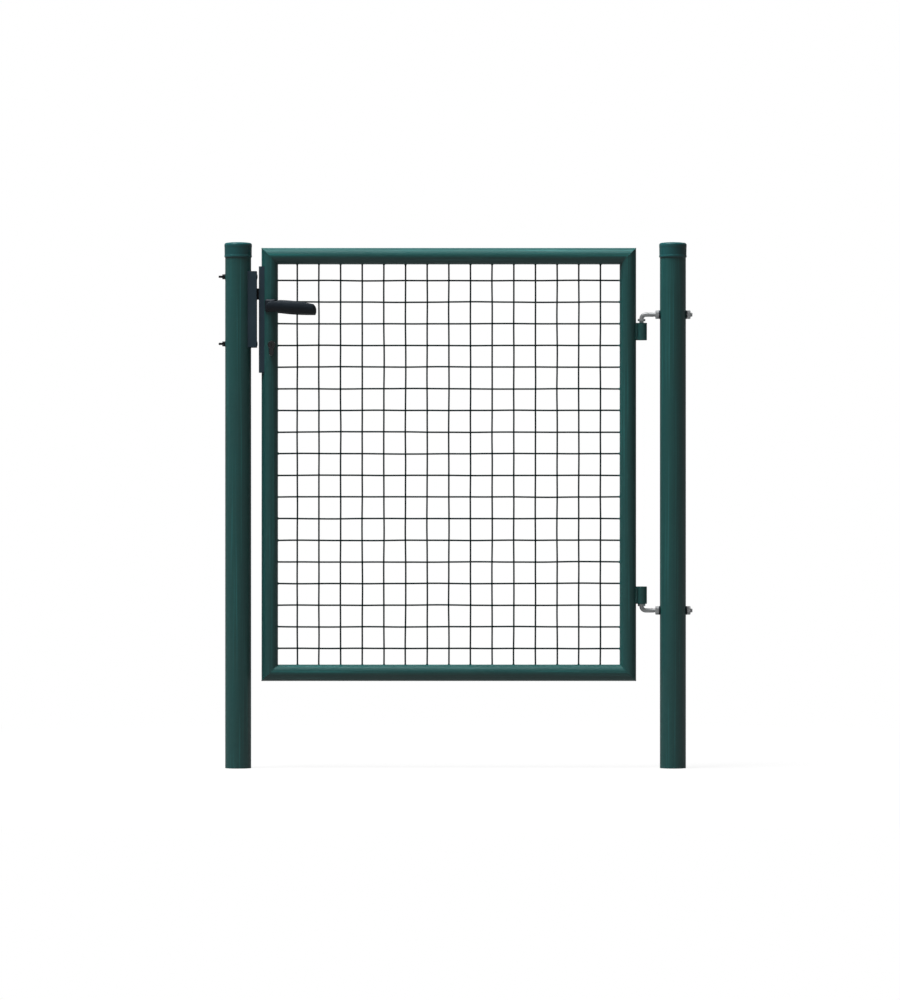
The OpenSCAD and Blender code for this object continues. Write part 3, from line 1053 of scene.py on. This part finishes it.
class GATE_OT_fit_screws(Operator):
    """Fit the countersunk screws of the forend"""

    bl_idname = "gate.fit_screws"
    bl_label = "Fit Screws"

    def execute(self, context):
        sizes = settings().hardware
        head = sizes.screw_head / 2
        head_height = 0.62 * head
        proud = 0.25 * MM
        low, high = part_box("lock_forend")
        middle = (low.z + high.z) / 2
        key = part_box("front_key_plug")
        reach = sizes.screw_reach
        heights = [middle - reach, (key[0].z + key[1].z) / 2, middle + reach]
        t = Geometry(
            "Cross screws",
            {
                "Head Radius": head,
                "Head Height": head_height,
                "Slot": 0.26 * head,
                "Finish": finish("zinc"),
            },
        )
        radius = t["Head Radius"]
        height = t["Head Height"]
        foot = radius * 0.45
        slot_length = radius * 1.2
        slot_depth = height * 1.2
        cone = t.add(
            "GeometryNodeMeshCone",
            {},
            {
                "Vertices": 32,
                "Side Segments": 1,
                "Radius Top": radius,
                "Radius Bottom": foot,
                "Depth": height,
            },
        )
        slots = [
            t.add("GeometryNodeMeshCube", {}, {"Size": t.joined(size_x, size_y, slot_depth)})
            for size_x, size_y in ((slot_length, t["Slot"]), (t["Slot"], slot_length))
        ]
        cross = t.add(
            "GeometryNodeTransform",
            {},
            {"Geometry": t.together(*slots), "Translation": t.joined(0.0, 0.0, height)},
        )
        screw = t.add(
            "GeometryNodeMeshBoolean",
            {"operation": "DIFFERENCE", "solver": "EXACT"},
            {"Mesh 1": cone, "Mesh 2": cross, "Self Intersection": True},
        )
        screw = t.add(
            "GeometryNodeTransform", {}, {"Geometry": screw, "Rotation": (0.0, -math.pi / 2, 0.0)}
        )
        t.close(t.copies(t["Geometry"], screw))
        seat_x = low.x - proud + head_height
        seats = lines_mesh("screw_seats", [[(seat_x, 0, z)] for z in heights])
        fasten(grow("forend_screws", t, seats), "leaf", "zinc")
        return {"FINISHED"}


# ---- lock ----


def slope_down(piece, width, fall):
    """Slopes the outer face of a plate down to its edges, over the given width."""
    places = [vertex.co for vertex in piece.data.vertices]
    left, right = min(place.x for place in places), max(place.x for place in places)
    bottom, top = min(place.z for place in places), max(place.z for place in places)
    face = max(abs(place.y) for place in places)
    for place in places:
        inset = min(place.x - left, right - place.x, place.z - bottom, top - place.z)
        limit = face - fall * max(0.0, 1.0 - inset / width)
        place.y = math.copysign(min(abs(place.y), limit), place.y)


class GATE_OT_mould_levers(Operator):
    """Make the moulded levers and the roses that they turn in"""

    bl_idname = "gate.mould_levers"
    bl_label = "Mould Levers"

    def execute(self, context):
        sizes = settings().hardware
        for node, body in (
            ("front_lever", "lever"),
            ("back_lever", "lever"),
            ("front_rose", "leaf"),
            ("back_rose", "leaf"),
        ):
            piece = traced("moulded_" + node, node)
            skin = piece.modifiers.new("Skin", "REMESH")
            skin.mode = "VOXEL"
            skin.voxel_size = sizes.skin
            skin.use_smooth_shade = True
            settled(piece)
            if node.endswith("_rose"):
                slope_down(piece, sizes.rose_slope, sizes.rose_fall)
            smooth = piece.modifiers.new("Smooth", "SMOOTH")
            smooth.factor = 0.5
            smooth.iterations = sizes.rounding
            settled(piece)
            coat(piece, SLOTS[node])
            fasten(piece, body, SLOTS[node], node)
        return {"FINISHED"}


class GATE_OT_round_lock_parts(Operator):
    """Round the edges of the strike box, the forend, the bolts and the cylinder"""

    bl_idname = "gate.round_lock_parts"
    bl_label = "Round Lock Parts"

    def execute(self, context):
        sizes = settings().hardware
        for node, body, edge in (
            ("strike_box", "posts", sizes.folded_edge),
            ("lock_forend", "leaf", sizes.folded_edge),
            ("lock_cylinder", "leaf", sizes.cylinder_edge),
            ("dead_bolt", "leaf", sizes.machined_edge),
            ("latch_bolt", "latch", sizes.machined_edge),
        ):
            piece = softened("rounded_" + node, node, edge)
            coat(piece, SLOTS[node])
            fasten(piece, body, SLOTS[node], node)
        return {"FINISHED"}


# ---- stage ----

WHITE = (1.0, 1.0, 1.0, 1.0)
OVERHEAD = Vector((-0.29, -0.16, 0.94)).normalized()  # the direction of the overhead lamp
BEHIND = Vector((1.0, 3.6, 1.44))  # from the gate's middle to the lamp behind the leaf


def hang_lamp(name, target, offset, width, watts):
    """A round soft lamp that looks at a point from an offset. Reflections don't show it."""
    light = bpy.data.lights.new(name, "AREA")
    light.shape = "DISK"
    light.size = width
    light.energy = watts
    lamp = bpy.data.objects.new(name, light)
    lamp.location = target + offset
    lamp.rotation_euler = (target - lamp.location).to_track_quat("-Z", "Y").to_euler()
    lamp.visible_glossy = False
    bpy.context.scene.collection.objects.link(lamp)


def seen(t, mirrored):
    """How bright a ray shows the surround: white straight or through glass, dim in a reflection."""
    ray = t.add("ShaderNodeLightPath", {}, {}, "Is Camera Ray")
    return ray + ray.of("Is Glossy Ray") * mirrored + ray.of("Is Transmission Ray")


def floor_finish(stage):
    """A pale floor that looks white, keeps the object's shadow and casts little light back."""
    near, far = 0.8, 2.4  # metres from the gate's middle, between which the shadow fades out
    least = 0.88  # the share of plain white close to the gate
    t = Shader("pale_floor")
    shows = seen(t, stage.mirrored)
    x, y, _ = t.parts(t.place())
    away = t.math("SQRT", (x - stage.centre) * (x - stage.centre) + y * y)
    tone = t.blend(shows, (0.06, 0.06, 0.06, 1.0), WHITE)
    matt = t.add("ShaderNodeBsdfDiffuse", {}, {"Color": tone})
    white = t.add("ShaderNodeEmission", {}, {"Color": WHITE, "Strength": 1.0})
    lit = t.span(away, near, far, least, 1.0) * shows
    return t.close(t.add("ShaderNodeMixShader", {}, {0: lit, 1: matt, 2: white}))


def light_world(stage):
    """A surround that looks white, mirrors as a dim room with a lamp, and gives weak even light."""
    lean = 0.2  # how much brighter the room's back is than its front
    foot, top = 0.1, 0.7  # heights in a ray's direction, between which the room brightens
    rim, core = 0.94, 0.97  # cosines of the angles at which the lamp's glow starts and is full
    world = bpy.data.worlds.new("surround")
    bpy.context.scene.world = world
    world.use_nodes = True
    world.node_tree.nodes.clear()
    t = Tree(world.node_tree)
    way = t.add("ShaderNodeTexCoord", {}, {}, "Generated")
    _, y, z = t.parts(way)
    room = t.span(y * lean + z, foot, top, stage.mirrored, stage.ceiling)
    lamp = t.vector("DOT_PRODUCT", way, OVERHEAD).of("Value")
    lamp = t.span(lamp, rim, core, 0.0, stage.shine)
    strength = stage.ambient + seen(t, room + lamp) * (1.0 - stage.ambient)
    sky = t.add("ShaderNodeBackground", {}, {"Color": WHITE, "Strength": strength})
    t.add("ShaderNodeOutputWorld", {}, {"Surface": sky})


class GATE_OT_set_stage(Operator):
    """Set the camera, the lamps, the surround and the floor"""

    bl_idname = "gate.set_stage"
    bl_label = "Set Stage"

    def execute(self, context):
        stage = settings().stage
        scene = context.scene
        scene.view_settings.view_transform = "Standard"

        camera = bpy.data.objects.new("camera", bpy.data.cameras.new("camera"))
        camera.location = (stage.centre, -stage.distance, stage.eye)
        camera.rotation_euler = (math.pi / 2, 0.0, 0.0)
        camera.data.sensor_width = 36.0
        camera.data.lens = camera.data.sensor_width * stage.distance / stage.view
        camera.data.clip_end = 200.0
        scene.collection.objects.link(camera)
        scene.camera = camera

        middle = (CAD_BOX[0] + CAD_BOX[1]) / 2
        above = stage.overhead_reach * OVERHEAD
        hang_lamp("overhead_lamp", middle, above, stage.overhead_width, stage.overhead)
        hang_lamp("back_lamp", middle, BEHIND, stage.behind_width, stage.behind)
        light_world(stage)

        ground = bmesh.new()
        bmesh.ops.create_grid(ground, x_segments=1, y_segments=1, size=stage.floor / 2)
        mesh = bpy.data.meshes.new("floor")
        ground.to_mesh(mesh)
        ground.free()
        floor = shown("floor", mesh)
        mesh.materials.append(floor_finish(stage))
        return {"FINISHED"}


# ---- sidebar and registration ----


class GATE_PT_sidebar(Panel):
    """List the gate's operators and settings"""

    bl_label = "Gate"
    bl_idname = "GATE_PT_sidebar"
    bl_space_type = "VIEW_3D"
    bl_region_type = "UI"
    bl_category = "Gate"

    def draw(self, context):
        for operator in OPERATORS:
            self.layout.operator(operator.bl_idname)
        gate = context.scene.gate
        for group in (gate.mesh, gate.welds, gate.hardware, gate.finishes, gate.stage):
            box = self.layout.box()
            for name in group.__annotations__:
                box.prop(group, name)


OPERATORS = (
    GATE_OT_coat_parts,
    GATE_OT_weld_mesh,
    GATE_OT_weld_ends,
    GATE_OT_lay_beads,
    GATE_OT_cut_bolts,
    GATE_OT_fit_screws,
    GATE_OT_mould_levers,
    GATE_OT_round_lock_parts,
    GATE_OT_set_stage,
)
GROUPS = (GateMesh, GateWelds, GateHardware, GateFinishes, GateStage, GateSettings)
CLASSES = (*GROUPS, *OPERATORS, GATE_PT_sidebar)


def register():
    """Adds the classes and the scene's settings."""
    for each in CLASSES:
        bpy.utils.register_class(each)
    bpy.types.Scene.gate = PointerProperty(type=GateSettings)


def unregister():
    """Takes the settings and the classes away again."""
    del bpy.types.Scene.gate
    for each in reversed(CLASSES):
        bpy.utils.unregister_class(each)


def main():
    """Builds every piece in order."""
    register()
    bpy.ops.gate.coat_parts()
    bpy.ops.gate.weld_mesh()
    bpy.ops.gate.weld_ends()
    bpy.ops.gate.lay_beads()
    bpy.ops.gate.cut_bolts()
    bpy.ops.gate.fit_screws()
    bpy.ops.gate.mould_levers()
    bpy.ops.gate.round_lock_parts()
    bpy.ops.gate.set_stage()


if __name__ == "__main__":
    main()
